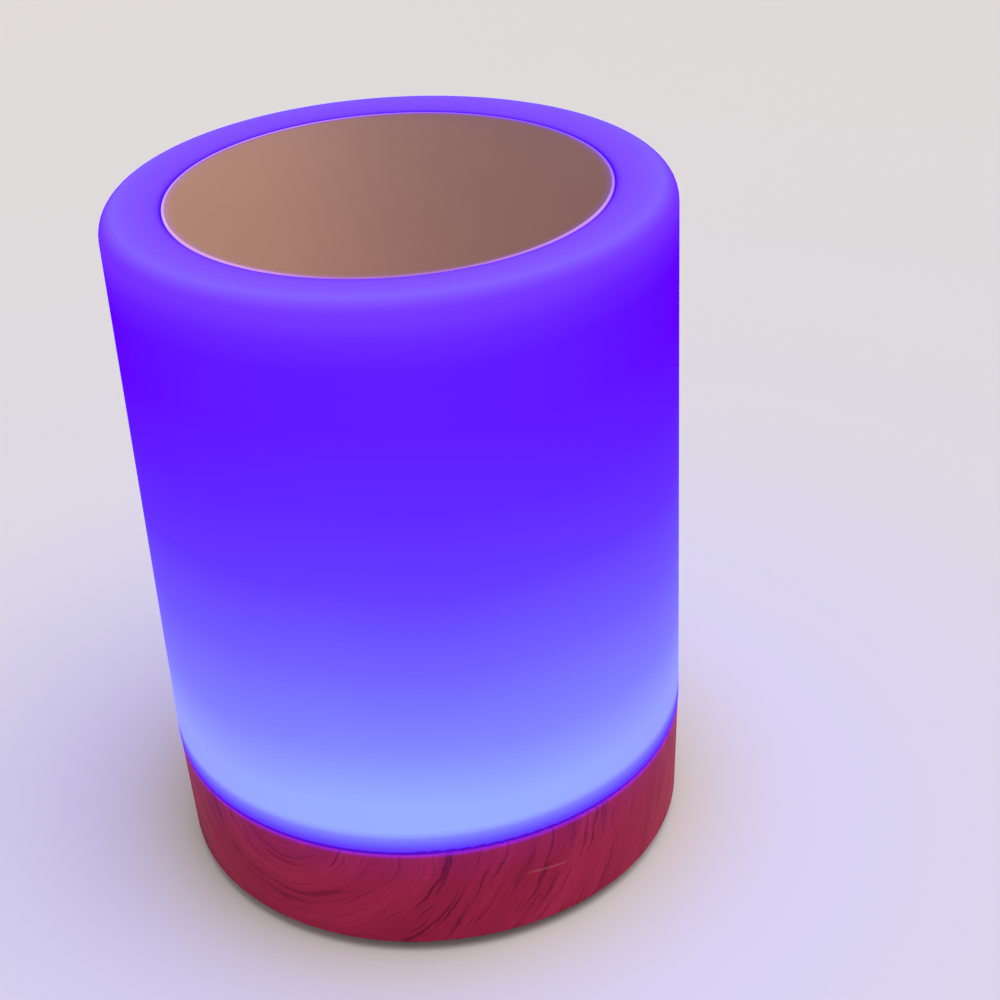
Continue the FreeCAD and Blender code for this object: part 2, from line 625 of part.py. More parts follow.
def indicator_pipe():
    """The clear pipe that brings the charge light through the wall, with a domed end."""
    into = FreeCAD.Vector(0, 1, 0)
    end = SLEEVE_RADIUS - 0.1
    pipe = Part.makeCylinder(PIPE_RADIUS, end - PIPE_BACK, FreeCAD.Vector(0, PIPE_BACK, PORT_Z), into)
    flange = block(PIPE_FLANGE, 0, PIPE_BACK, BOARD_TOP)
    rim = [e for e in pipe.Edges if isinstance(e.Curve, Part.Circle) and e.BoundBox.YMin > end - 0.1]
    return turned(joined([pipe.makeFillet(0.5, rim), flange]), PIPE_ANGLE)


def indicator_led():
    """The small charge light behind the pipe."""
    return turned(block((1.6, 0.9, 1.9), 0, PIPE_BACK - 1.2, BOARD_TOP), PIPE_ANGLE)


def battery_cell():
    """The flat pouch cell, with soft rounded sides."""
    cell = Part.makeBox(*CELL, FreeCAD.Vector(CELL_LEFT, CELL_FRONT, CELL_BOTTOM))
    cell = cell.makeFillet(2.5, upright_edges(cell))
    faces = (CELL_BOTTOM, CELL_BOTTOM + CELL[2])
    flat = [e for e in cell.Edges if e.BoundBox.ZLength < 1e-3 and min(abs(e.BoundBox.ZMin - z) for z in faces) < 0.1]
    return cell.makeFillet(1.2, flat)


def battery_pad():
    """The foam tape that holds the cell to the cover."""
    margin = 5.0
    size = (CELL[0] - 2 * margin, CELL[1] - 2 * margin, CELL_PAD)
    return Part.makeBox(*size, FreeCAD.Vector(CELL_LEFT + margin, CELL_FRONT + margin, COVER_TOP))


def protection_board():
    """The strip board across the cell's end."""
    size = (STRIP_WIDTH, CELL[1], CELL[2] * 0.6)
    return Part.makeBox(*size, FreeCAD.Vector(CELL_LEFT + CELL[0], CELL_FRONT, CELL_BOTTOM + 1.0))


def battery_plug():
    """The white plug and header that the cell's leads end in."""
    return on_board((6.0, 5.4, 4.0), 18.5, 13.9)


def battery_lead(offset):
    """One lead from the strip board up to its plug, moved sideways by offset."""
    strip_back = CELL_FRONT + CELL[1]
    route = [(23.5, strip_back, 7.6), (23.5, 2.6, 7.6), (18.5, 6.2, 12.8), (18.5, 11.2, 12.8)]
    return lead([FreeCAD.Vector(x + offset, y, z) for x, y, z in route], LEAD_RADIUS)


def light_plug():
    """The plug and header for the light board's four leads."""
    return on_board((9.8, 4.5, 3.6), 0, 13.0)


def light_leads():
    """Four leads from the plug, through the deck, to the light board's underside."""
    pitch = 2.0
    top = BOARD_TOP + 3.6
    xs = [pitch * (step - 1.5) for step in range(4)]
    return Part.makeCompound([rod(LEAD_RADIUS, top, LED_BOARD_Z, FreeCAD.Vector(x, 13.0, 0)) for x in xs])


def touch_lead():
    """The lead from the contact rod down to the control board."""
    route = [(0, 0, ROD_BOTTOM), (0, 0, 14.0), (0, SOLDER_Y, 14.0), (0, SOLDER_Y, BOARD_TOP + 1.0)]
    return lead([FreeCAD.Vector(*point) for point in route], 0.45)


def touch_solder():
    """The solder joint that the touch lead ends in."""
    return Part.makeCone(1.3, 0.7, 1.0, FreeCAD.Vector(0, SOLDER_Y, BOARD_TOP))


def screws(size, places, seat_z, downwards):
    """A group of like screws."""
    return Part.makeCompound([screw(size, polar(*place), seat_z, downwards) for place in places])


NODES = {
    "diffuser": diffuser(),
    "touch_plate": touch_plate(),
    "plate_gasket": plate_gasket(),
    "touch_column": touch_column(),
    "contact_rod": contact_rod(),
    "touch_spring": touch_spring(),
    "led_board": led_board(),
    "rgb_leds": rgb_leds(),
    "white_leds": white_leds(),
    "led_board_screws": screws(LED_BOARD_SCREW, LED_BOARD_SCREWS, LED_BOARD_TOP, True),
    "reflector_ring": reflector_ring(),
    "base_sleeve": base_sleeve(),
    "base_chassis": base_chassis(),
    "bottom_cover": bottom_cover(),
    "cover_screws": screws(COVER_SCREW, COVER_SCREWS, COVER_HEAD_SEAT, False),
    "rubber_feet": rubber_feet(),
    "control_board": control_board(),
    "control_board_screws": screws(BOARD_SCREW, BOARD_SCREWS, BOARD_Z, False),
    "control_chips": control_chips(),
    "small_parts": small_parts(),
    "power_inductor": power_inductor(),
    "filter_capacitors": filter_capacitors(),
    "charge_socket": charge_socket(),
    "socket_tongue": socket_tongue(),
    "switch_body": switch_body(),
    "switch_knob": switch_knob(),
    "indicator_pipe": indicator_pipe(),
    "indicator_led": indicator_led(),
    "battery_cell": battery_cell(),
    "battery_pad": battery_pad(),
    "protection_board": protection_board(),
    "battery_plug": battery_plug(),
    "battery_lead_red": battery_lead(-0.9),
    "battery_lead_black": battery_lead(0.9),
    "light_plug": light_plug(),
    "light_leads": light_leads(),
    "touch_lead": touch_lead(),
    "touch_solder": touch_solder(),
}

os.makedirs("parts", exist_ok=True)
for name, shape in NODES.items():
    solids = shape.Solids
    print(f"{name}: {len(solids)} solid(s), {shape.Volume:.1f} mm3, valid {shape.isValid()}")
    shape.exportStep(f"parts/{name}.step")
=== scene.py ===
"""Touch-top bedside lamp: the finishes and fine pieces that are laid over its engineering model.

Metres, +Z up, with the origin where the lamp's axis meets the surface that it stands on.
The front of the lamp faces -Y. The charging socket and the power switch are at the back.
"""

import math

import bmesh
import bpy
from mathutils import Matrix, Vector


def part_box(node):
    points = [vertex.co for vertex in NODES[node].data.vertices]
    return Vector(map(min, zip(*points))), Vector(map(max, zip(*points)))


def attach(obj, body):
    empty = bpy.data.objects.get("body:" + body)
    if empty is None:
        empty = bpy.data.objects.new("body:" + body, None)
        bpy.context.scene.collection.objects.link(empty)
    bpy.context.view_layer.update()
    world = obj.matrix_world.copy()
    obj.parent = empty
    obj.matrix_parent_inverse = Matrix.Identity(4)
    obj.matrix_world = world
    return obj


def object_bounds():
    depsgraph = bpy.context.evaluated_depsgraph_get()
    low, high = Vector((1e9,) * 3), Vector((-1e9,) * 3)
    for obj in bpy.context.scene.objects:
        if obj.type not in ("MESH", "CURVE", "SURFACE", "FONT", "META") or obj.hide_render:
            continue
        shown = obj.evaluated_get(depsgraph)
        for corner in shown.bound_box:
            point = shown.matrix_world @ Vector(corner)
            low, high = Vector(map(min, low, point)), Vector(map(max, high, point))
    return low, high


bl_info = {
    "name": "Bedside Lamp Finishes",
    "version": (1, 0, 0),
    "blender": (4, 5, 0),
    "location": "3D View > Sidebar > Bedside Lamp",
    "description": "Finishes a touch-top bedside lamp and sets up its stage",
    "category": "Object",
}

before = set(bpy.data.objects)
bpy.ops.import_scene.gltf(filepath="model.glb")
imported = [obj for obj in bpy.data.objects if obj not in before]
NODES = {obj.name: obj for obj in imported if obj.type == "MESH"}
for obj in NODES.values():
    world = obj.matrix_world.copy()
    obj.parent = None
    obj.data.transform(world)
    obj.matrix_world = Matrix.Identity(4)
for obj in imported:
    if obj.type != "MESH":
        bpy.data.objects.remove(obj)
CAD_LOW, CAD_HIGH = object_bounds()
LAMP = "lamp"
MM = 0.001

PLATE_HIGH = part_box("touch_plate")[1]
SLEEVE_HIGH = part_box("base_sleeve")[1]
TONGUE_LOW, TONGUE_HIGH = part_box("socket_tongue")
# These are in millimetres, as all finishes are laid out.
LAMP_TOP = CAD_HIGH.z / MM
LAMP_RADIUS = CAD_HIGH.x / MM
PLATE_RADIUS = PLATE_HIGH.x / MM
SLEEVE_TOP = SLEEVE_HIGH.z / MM
SLEEVE_RADIUS = SLEEVE_HIGH.x / MM
# The diffuser's lower edge stands this much above the sleeve, and shows as a dark seam.
SEAM_GAP = 0.3

DARK = (0.0, 0.0, 0.0, 1.0)


def screen(red, green, blue):
    """A scene-linear colour from the 0 to 255 values that a colour chart prints."""

    def linear(level):
        level /= 255
        return level / 12.92 if level <= 0.04045 else ((level + 0.055) / 1.055) ** 2.4

    return (linear(red), linear(green), linear(blue), 1.0)


# Materials


class Finish:
    """One material with one Principled shader, and short calls that lay nodes in front of it."""

    def __init__(self, name, colour=(0.8, 0.8, 0.8, 1.0), roughness=0.5, metal=0.0, **sockets):
        self.material = bpy.data.materials.new(name)
        self.material.use_nodes = True
        self.tree = self.material.node_tree
        self.shader = self.tree.nodes["Principled BSDF"]
        self.set("Base Color", colour)
        self.set("Roughness", roughness)
        self.set("Metallic", metal)
        for socket, value in sockets.items():
            self.set(socket.replace("_", " "), value)
        self.place = None

    def set(self, socket, value):
        """A plain value on the shader."""
        self.shader.inputs[socket].default_value = value

    def drive(self, socket, source):
        """A node's output into the shader."""
        self.tree.links.new(source, self.shader.inputs[socket])

    def node(self, kind, *inputs, output=0, **settings):
        """A new node with its first inputs filled by values or by other nodes' outputs."""
        made = self.tree.nodes.new("ShaderNode" + kind)
        for key, value in settings.items():
            setattr(made, key, value)
        for socket, given in zip(made.inputs, inputs):
            if isinstance(given, bpy.types.NodeSocket):
                self.tree.links.new(given, socket)
            elif given is not None:
                socket.default_value = given
        return made.outputs[output]

    def where(self):
        """The point on the lamp, in millimetres."""
        if self.place is None:
            point = self.node("TexCoord", output=3)
            self.place = self.node("VectorMath", point, (1 / MM,) * 3, operation="MULTIPLY")
        return self.place

    def axes(self):
        """x, y and z on the lamp, in millimetres."""
        parts = self.where()
        split = self.tree.nodes.new("ShaderNodeSeparateXYZ")
        self.tree.links.new(parts, split.inputs[0])
        return split.outputs

    def radius(self):
        """Distance from the lamp's axis, in millimetres."""
        x, y, _ = self.axes()
        return self.length(x, y)

    def turn(self):
        """Angle round the lamp's axis from its front, rightwards, in radians."""
        x, y, _ = self.axes()
        return self.sum("ARCTAN2", x, self.sum("MULTIPLY", y, -1.0))

    def sum(self, operation, first, second=0.0, third=None, clamp=False):
        """A Math node."""
        return self.node("Math", first, second, third, operation=operation, use_clamp=clamp)

    def length(self, first, second):
        """The length of a line that goes so far one way and so far across it."""
        squares = [self.sum("MULTIPLY", side, side) for side in (first, second)]
        return self.sum("SQRT", self.sum("ADD", *squares))

    def stretch(self, by):
        """The point on the lamp, stretched by a factor on each axis."""
        return self.node("VectorMath", self.where(), by, operation="MULTIPLY")

    def noise(self, place, scale, detail):
        """Soft noise about 0.5."""
        made = self.tree.nodes.new("ShaderNodeTexNoise")
        self.tree.links.new(place, made.inputs["Vector"])
        made.inputs["Scale"].default_value = scale
        made.inputs["Detail"].default_value = detail
        return made.outputs[0]

    def span(self, value, low, high, to_low=0.0, to_high=1.0):
        """The value's range low to high, laid onto another range and held inside it."""
        return self.node("MapRange", value, low, high, to_low, to_high)

    def scale(self, value, stops):
        """Colours, or levels from 0 to 1, laid against a value."""
        first, last = stops[0][0], stops[-1][0]
        made = self.tree.nodes.new("ShaderNodeValToRGB")
        elements = made.color_ramp.elements
        while len(elements) < len(stops):
            elements.new(0.5)
        for element, (place, colour) in zip(elements, stops):
            element.position = (place - first) / (last - first)
            element.color = (colour, colour, colour, 1.0) if isinstance(colour, float) else colour
        self.tree.links.new(self.span(value, first, last), made.inputs[0])
        return made.outputs[0]

    def mix(self, factor, first, second):
        """Two colours mixed by a factor."""
        made = self.tree.nodes.new("ShaderNodeMix")
        made.data_type = "RGBA"
        for name, given in (("Factor_Float", factor), ("A_Color", first), ("B_Color", second)):
            socket = next(s for s in made.inputs if s.identifier == name)
            if isinstance(given, bpy.types.NodeSocket):
                self.tree.links.new(given, socket)
            else:
                socket.default_value = given
        return next(s for s in made.outputs if s.identifier == "Result_Color")

    def relief(self, height, depth_mm):
        """Bumps of that depth in the surface."""
        made = self.tree.nodes.new("ShaderNodeBump")
        made.inputs["Strength"].default_value = 1.0
        made.inputs["Distance"].default_value = depth_mm * MM
        self.tree.links.new(height, made.inputs["Height"])
        self.drive("Normal", made.outputs[0])


# Glow colours against height above the diffuser's lower edge, in millimetres, where it rounds in
# to the seam. They darken to a painted shadow line at the seam.
EDGE_GLOW_AND_SEAM_SHADE = [
    (0.0, screen(76, 4, 212)),
    (0.3, screen(92, 32, 238)),
    (0.6, screen(102, 60, 252)),
    (1.0, screen(100, 69, 255)),
    (1.6, screen(104, 90, 255)),
    (2.8, screen(122, 120, 255)),
    (4.8, screen(144, 158, 255)),
]
# Glow colours with painted shade and light in them, against distance from the lamp's axis, in
# millimetres, over the rim round the plate: painted shade darkens the gap by the plate and the
# outer rounding, and a painted highlight lightens the crown.
RIM_GLOW_AND_SHADE = [
    (36.5, screen(56, 12, 156)),
    (37.3, screen(72, 22, 188)),
    (37.5, screen(108, 48, 246)),
    (37.9, screen(121, 67, 254)),
    (38.6, screen(126, 76, 255)),
    (40.2, screen(129, 81, 255)),
    (43.0, screen(131, 88, 255)),
    (44.9, screen(132, 97, 255)),
    (46.1, screen(127, 80, 255)),
    (47.0, screen(117, 56, 255)),
    (47.5, screen(112, 48, 255)),
]
# Where the edge's colours give way to the wall's, in millimetres above the diffuser's lower edge.
EDGE_TO_WALL = (3.2, 4.8)
# Where the wall's colours and the recess's give way to the rim's, in millimetres below the top
# and from the axis.
WALL_TO_RIM = (4.0, 0.4)
RECESS_TO_RIM = (39.0, 41.0)
# Painted shade at the lamp's two sides: what the wall's colours are multiplied by there, and what
# is added then, which takes out green.
SIDE_SHADE_SCALE, SIDE_SHADE_SHIFT = (1.0, 0.82, 1.0), (0.0, -0.0105, 0.0)


def diffuser_glow(lamp):
    """Milky plastic that glows from inside: pale blue by the light board, violet at the top, with
    a painted violet colour and painted shade and light in its glow.
    """
    finish = Finish("milky_glow", lamp.plastic, 0.5, Specular_IOR_Level=0.0)
    x, _, z = finish.axes()
    low = SLEEVE_TOP + SEAM_GAP
    cloud = finish.noise(finish.stretch((0.02, 0.02, 0.012)), 1.0, 1.0)
    middle = finish.sum("SUBTRACT", z, lamp.cloud_mm / 2)
    wall = finish.scale(finish.sum("MULTIPLY_ADD", cloud, lamp.cloud_mm, middle), lamp.wall_glow())
    edge = finish.scale(finish.sum("SUBTRACT", z, low), EDGE_GLOW_AND_SEAM_SHADE)
    wall = finish.mix(finish.span(z, *(low + up for up in EDGE_TO_WALL)), edge, wall)
    # Painted shade: towards the lamp's two sides the wall's glow loses green and turns a deeper
    # violet, for the dimming where the wall turns edge-on.
    side_shade_mask = finish.sum("POWER", finish.sum("DIVIDE", x, LAMP_RADIUS), 2.0, clamp=True)
    side_shaded = finish.node("VectorMath", wall, SIDE_SHADE_SCALE, SIDE_SHADE_SHIFT, operation="MULTIPLY_ADD")
    wall = finish.mix(side_shade_mask, wall, side_shaded)
    radius = finish.radius()
    # The rim's glow, with its painted shade and painted highlight.
    rim = finish.scale(radius, RIM_GLOW_AND_SHADE)
    outside = finish.span(z, *(LAMP_TOP - down for down in WALL_TO_RIM))
    inside = finish.span(radius, *RECESS_TO_RIM, 1.0, 0.0)
    glow = finish.mix(finish.sum("MAXIMUM", outside, inside), wall, rim)
    # The strength raises the blue light alone: red and green are weakened by as much.
    weaker = 1.0 / lamp.strength
    glow = finish.node("VectorMath", glow, (weaker, weaker, 1.0), operation="MULTIPLY")
    finish.drive("Emission Color", glow)
    finish.set("Emission Strength", lamp.strength)
    finish.relief(finish.noise(finish.where(), 2.2, 2.0), 0.01)
    return finish.material


# Middles of the grain's arches: distance round the sleeve from its front, rightwards, and height,
# in millimetres. The arch at the very back is given once for each way round.
HALF_WAY = math.pi * SLEEVE_RADIUS
ARCHES = [(-27.0, 24.0), (HALF_WAY, -9.0), (-HALF_WAY, -9.0)]
# How softly two arches meet, in millimetres.
ARCH_BLEND = 9.0
# How thickly the dark strokes stand, against distance from the middle of an arch, in millimetres.
STROKES = [
    (0.0, 0.0),
    (7.0, 0.0),
    (9.0, 0.9),
    (13.0, 0.9),
    (15.0, 0.2),
    (18.0, 0.8),
    (21.0, 0.6),
    (23.0, 0.1),
    (28.0, 0.2),
    (30.0, 1.0),
    (40.0, 1.0),
    (43.0, 0.5),
    (47.0, 0.5),
    (50.0, 1.0),
    (54.0, 0.6),
    (60.0, 1.0),
    (67.0, 0.5),
    (74.0, 0.1),
    (82.0, 0.6),
    (90.0, 0.2),
    (97.0, 0.7),
    (106.0, 0.1),
    (120.0, 0.5),
]
# The two ends of a faint scratch, placed as the arches are.
SCRATCH = [(16.8, 14.6), (25.9, 13.6)]
# How far the rings stray, in millimetres, and the scale of the noise that leads them.
WANDER, WANDER_SCALE = 5.0, 0.06
RIPPLE, RIPPLE_SCALE = 0.9, 0.35
# Depths below the sleeve's top, in millimetres, between which the seam's painted shadow, its
# painted line of glow and the painted glow that fades down the sleeve come in.
SHADOW_RISE = (0.22, 0.05)
LINE_RISE = (1.2, 0.22)
SPILL_RISE = (9.0, 0.0)


def wood_grain(lamp):
    """Reddish wood with flat-sawn arches: growth bands, fine fibres and short dark strokes."""
    finish = Finish("wood_grain", roughness=0.55, Specular_IOR_Level=0.07)
    x, y, z = finish.axes()
    along = finish.sum("MULTIPLY", finish.turn(), SLEEVE_RADIUS)

    def arch(centre_along, centre_z):
        across = finish.sum("SUBTRACT", along, centre_along)
        up = finish.sum("DIVIDE", finish.sum("SUBTRACT", z, centre_z), lamp.arch_flatness)
        return finish.length(across, up)

    rings = arch(*ARCHES[0])
    for centre in ARCHES[1:]:
        rings = finish.sum("SMOOTH_MIN", rings, arch(*centre), ARCH_BLEND)
    for reach, scale, detail in ((WANDER, WANDER_SCALE, 2.0), (RIPPLE, RIPPLE_SCALE, 1.0)):
        stray = finish.sum("SUBTRACT", finish.noise(finish.where(), scale, detail), 0.5)
        rings = finish.sum("MULTIPLY_ADD", stray, reach, rings)

    def along_grain(across, lengthwise, detail, shift=0.0):
        """Noise that is drawn out along the grain."""
        first = finish.sum("MULTIPLY_ADD", rings, across, shift)
        second = finish.sum("MULTIPLY", x, lengthwise)
        third = finish.sum("MULTIPLY", finish.sum("ADD", y, z), lengthwise)
        return finish.noise(finish.node("CombineXYZ", first, second, third), 1.0, detail)

    bands = finish.span(along_grain(0.16, 0.012, 2.0), 0.34, 0.66)
    colour = finish.mix(bands, lamp.wood_light, lamp.wood_mid)
    fibres = along_grain(2.4, 0.05, 3.0, 40.0)
    colour = finish.mix(finish.span(fibres, 0.42, 0.75, 0.0, 0.20), colour, lamp.wood_dark)
    pores = finish.span(along_grain(3.2, 0.30, 1.0, 23.0), 0.62, 0.72, 0.0, 0.30)
    colour = finish.mix(pores, colour, lamp.wood_pore)
    thick = finish.scale(rings, STROKES)
    strokes = finish.span(along_grain(1.15, 0.085, 1.5, 9.0), 0.56, 0.64)
    strokes = finish.sum("MULTIPLY", strokes, thick)
    colour = finish.mix(finish.sum("MULTIPLY", strokes, 0.55), colour, lamp.wood_pore)
    (left, left_z), (right, right_z) = SCRATCH
    lean = (right_z - left_z) / (right - left)
    off = finish.sum("SUBTRACT", z, finish.sum("MULTIPLY_ADD", along, lean, left_z - lean * left))
    thin = finish.span(finish.sum("ABSOLUTE", off), 0.10, 0.30, 1.0, 0.0)
    middle = (left + right) / 2
    reach = (right - left) / 2
    far = finish.sum("ABSOLUTE", finish.sum("SUBTRACT", along, middle))
    scratch = finish.sum("MULTIPLY", thin, finish.span(far, reach * 0.5, reach, 0.28, 0.0))
    colour = finish.mix(scratch, colour, lamp.wood_scratch)
    # Painted shadow darkens the topmost edge, where the seam shades it. Below it a painted glow
    # stands for the diffuser's light that leaks out onto the sleeve.
    shadow_rise, line_rise, spill_rise = (
        [SLEEVE_TOP - down for down in rise] for rise in (SHADOW_RISE, LINE_RISE, SPILL_RISE)
    )
    shadow = finish.span(z, *shadow_rise)
    finish.drive("Base Color", finish.mix(shadow, colour, lamp.seam_shadow))
    line = finish.sum("POWER", finish.span(z, *line_rise), 2.4)
    line = finish.sum("MULTIPLY", line, finish.span(shadow, 0.0, 1.0, 1.0, 0.7))
    painted_glow_spill = finish.sum("POWER", finish.span(z, *spill_rise, 0.0, 0.2), 1.5)
    painted_seam_glow = finish.sum("ADD", line, painted_glow_spill, clamp=True)
    finish.drive("Emission Color", finish.mix(painted_seam_glow, DARK, lamp.painted_seam_light))
    finish.set("Emission Strength", 1.0)
    finish.drive("Roughness", finish.span(fibres, 0.3, 0.7, 0.48, 0.62))
    finish.relief(finish.sum("MULTIPLY_ADD", strokes, -1.4, fibres), 0.04)
    return finish.material


# Distances in from the plate's edge, in millimetres, between which the painted glow on it comes
# in.
PLATE_PAINTED_GLOW_RISE = (1.8, 0.3)


def satin_metal(lamp):
    """Fine-blasted metal with a soft sheen."""
    finish = Finish("satin_metal", lamp.plate, 0.36, 1.0)
    grain = finish.noise(finish.where(), 9.0, 2.0)
    cloud = finish.noise(finish.where(), 0.05, 2.0)
    shade = finish.mix(finish.span(cloud, 0.3, 0.7, 0.0, 0.35), lamp.plate, lamp.plate_shade)
    finish.drive("Base Color", shade)
    finish.drive("Roughness", finish.span(grain, 0.3, 0.7, 0.33, 0.42))
    finish.relief(grain, 0.004)
    # Painted light: an emitted glow on the plate's edge stands for the diffuser's light falling on
    # it.
    rise = finish.span(finish.radius(), *(PLATE_RADIUS - inwards for inwards in PLATE_PAINTED_GLOW_RISE))
    haze = finish.sum("POWER", rise, 2.0)
    finish.drive("Emission Color", finish.mix(haze, DARK, lamp.plate_painted_glow))
    finish.set("Emission Strength", 1.0)
    return finish.material


# Painted highlights on the plate's bead: colours of the light that it reflects from the diffuser
# and the room, brightest at the lamp's two sides, against the angle round the lamp's axis from its
# front, rightwards, in degrees.
PAINTED_BEAD_HIGHLIGHTS = [
    (-180.0, screen(156, 100, 212)),
    (-150.0, screen(185, 130, 218)),
    (-105.0, screen(188, 134, 210)),
    (-75.0, screen(212, 160, 222)),
    (-45.0, screen(214, 160, 212)),
    (-30.0, screen(200, 145, 217)),
    (-10.0, screen(162, 106, 178)),
    (18.0, screen(158, 102, 180)),
    (48.0, screen(198, 140, 224)),
    (66.0, screen(204, 150, 238)),
    (90.0, screen(158, 102, 226)),
    (100.0, screen(142, 90, 214)),
    (135.0, screen(141, 90, 206)),
    (180.0, screen(156, 100, 212)),
]


def bead_painted_highlights(lamp):
    """The polished bead that is turned round the plate's edge, glowing with painted highlights."""
    finish = Finish("bead_painted_highlights", lamp.plate_edge, 0.46, 1.0)
    lines = finish.noise(finish.stretch((1.0, 1.0, 30.0)), 1.0, 1.0)
    finish.drive("Roughness", finish.span(lines, 0.3, 0.7, 0.42, 0.50))
    turn = finish.sum("DEGREES", finish.turn())
    finish.drive("Emission Color", finish.scale(turn, PAINTED_BEAD_HIGHLIGHTS))
    finish.set("Emission Strength", 1.0)
    return finish.material


def moulded(name, colour, roughness=0.5, pit_scale=5.0, depth_mm=0.012, **sockets):
    """Moulded plastic or rubber with a fine spark-eroded texture."""
    finish = Finish(name, colour, roughness, **sockets)
    pits = finish.noise(finish.where(), pit_scale, 2.0)
    tone = finish.noise(finish.where(), 0.12, 1.0)
    darker = tuple(level * 0.82 for level in colour[:3]) + (1.0,)
    finish.drive("Base Color", finish.mix(finish.span(tone, 0.3, 0.7), colour, darker))
    finish.drive("Roughness", finish.span(pits, 0.3, 0.7, roughness - 0.06, roughness + 0.08))
    finish.relief(pits, depth_mm)
    return finish.material


def bare_metal(name, colour, roughness=0.3, along=(1.0, 1.0, 1.0), scale=3.0):
    """Plated or drawn metal with faint lines along one way."""
    finish = Finish(name, colour, roughness, 1.0)
    lines = finish.noise(finish.stretch(along), scale, 2.0)
    dull = tuple(level * 0.78 for level in colour[:3]) + (1.0,)
    finish.drive("Base Color", finish.mix(finish.span(lines, 0.4, 0.8, 0.0, 0.6), colour, dull))
    finish.drive("Roughness", finish.span(lines, 0.3, 0.7, roughness - 0.06, roughness + 0.10))
    return finish.material


def circuit_board(name, mask, track, pitch=1.6):
    """Solder mask over copper tracks that run in square steps."""
    finish = Finish(name, mask, 0.34, Coat_Weight=0.3, Coat_Roughness=0.2)
    x, y, _ = finish.axes()
    squares = finish.node("VectorMath", finish.where(), (9.0,) * 3, operation="SNAP")
    way = finish.sum("GREATER_THAN", finish.noise(squares, 0.6, 0.0), 0.5)
    lane = finish.sum(
        "ADD",
        finish.sum("MULTIPLY", way, x),
        finish.sum("MULTIPLY", finish.sum("SUBTRACT", 1.0, way), y),
    )
    wave = finish.sum("PINGPONG", lane, pitch / 2)
    line = finish.span(wave, pitch * 0.16, pitch * 0.20, 1.0, 0.0)
    busy = finish.span(finish.noise(finish.where(), 0.16, 1.0), 0.46, 0.48)
    tracks = finish.sum("MULTIPLY", line, busy)
    finish.drive("Base Color", finish.mix(finish.sum("MULTIPLY", tracks, 0.8), mask, track))
    finish.relief(tracks, 0.03)
    return finish.material


def clear_plastic():
    """Clear moulded plastic."""
    finish = Finish("clear_plastic", screen(236, 240, 244), 0.08, IOR=1.49, Alpha=0.35)
    finish.material.blend_method = "BLEND"
    swirl = finish.noise(finish.where(), 0.4, 2.0)
    finish.drive("Roughness", finish.span(swirl, 0.3, 0.7, 0.06, 0.14))
    return finish.material


def lit_emitter(lamp):
    """The emitters' package, lit by its own dies."""
    finish = Finish("rgb_package", screen(228, 228, 222), 0.35)
    finish.set("Emission Color", lamp.emitter)
    finish.set("Emission Strength", 0.6)
    finish.relief(finish.noise(finish.where(), 3.0, 1.0), 0.01)
    return finish.material


def insulation(name, colour):
    """Soft wire insulation."""
    return moulded(name, colour, 0.42, 3.0, 0.01)


# Shapes


def put(name, bm, material):
    """Turns mesh data into a finished piece that rides on the lamp."""
    mesh = bpy.data.meshes.new(name)
    bmesh.ops.recalc_face_normals(bm, faces=bm.faces)
    bm.to_mesh(mesh)
    bm.free()
    mesh.materials.append(material)
    mesh.shade_smooth()
    mesh.set_sharp_from_angle(angle=math.radians(40))
    piece = bpy.data.objects.new(name, mesh)
    bpy.context.scene.collection.objects.link(piece)
    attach(piece, LAMP)


def lathe(bm, outline, steps):
    """Turns a closed outline of (radius, z) points about the lamp's axis."""
    rows = []
    for step in range(steps):
        turn = 2 * math.pi * step / steps
        across, along = math.cos(turn), math.sin(turn)
        rows.append([bm.verts.new((radius * across, radius * along, z)) for radius, z in outline])
    count = len(outline)
    for row, after in zip(rows, rows[1:] + rows[:1]):
        for index in range(count):
            following = (index + 1) % count
            bm.faces.new((row[index], after[index], after[following], row[following]))


def block(bm, low, high, bevel):
    """A box between two corners, with its edges eased."""
    low, high = Vector(low), Vector(high)
    made = bmesh.ops.create_cube(bm, size=1.0)
    bmesh.ops.scale(bm, vec=high - low, verts=made["verts"])
    bmesh.ops.translate(bm, vec=(low + high) / 2, verts=made["verts"])
    edges = {edge for vert in made["verts"] for edge in vert.link_edges}
    bmesh.ops.bevel(bm, geom=list(edges), offset=bevel, segments=2, affect="EDGES")


def dress(material, *nodes):
    """Gives a finish to nodes of the engineering model."""
    for node in nodes:
        mesh = NODES[node].data
        mesh.materials.clear()
        mesh.materials.append(material)
        for face in mesh.polygons:
            face.material_index = 0


# Settings


def tint(name, description, red, green, blue):
    """A colour that a user can change."""
    return bpy.props.FloatVectorProperty(
        name=name,
        description=description,
        default=screen(red, green, blue),
        size=4,
        min=0.0,
        max=1.0,
        subtype="COLOR",
    )


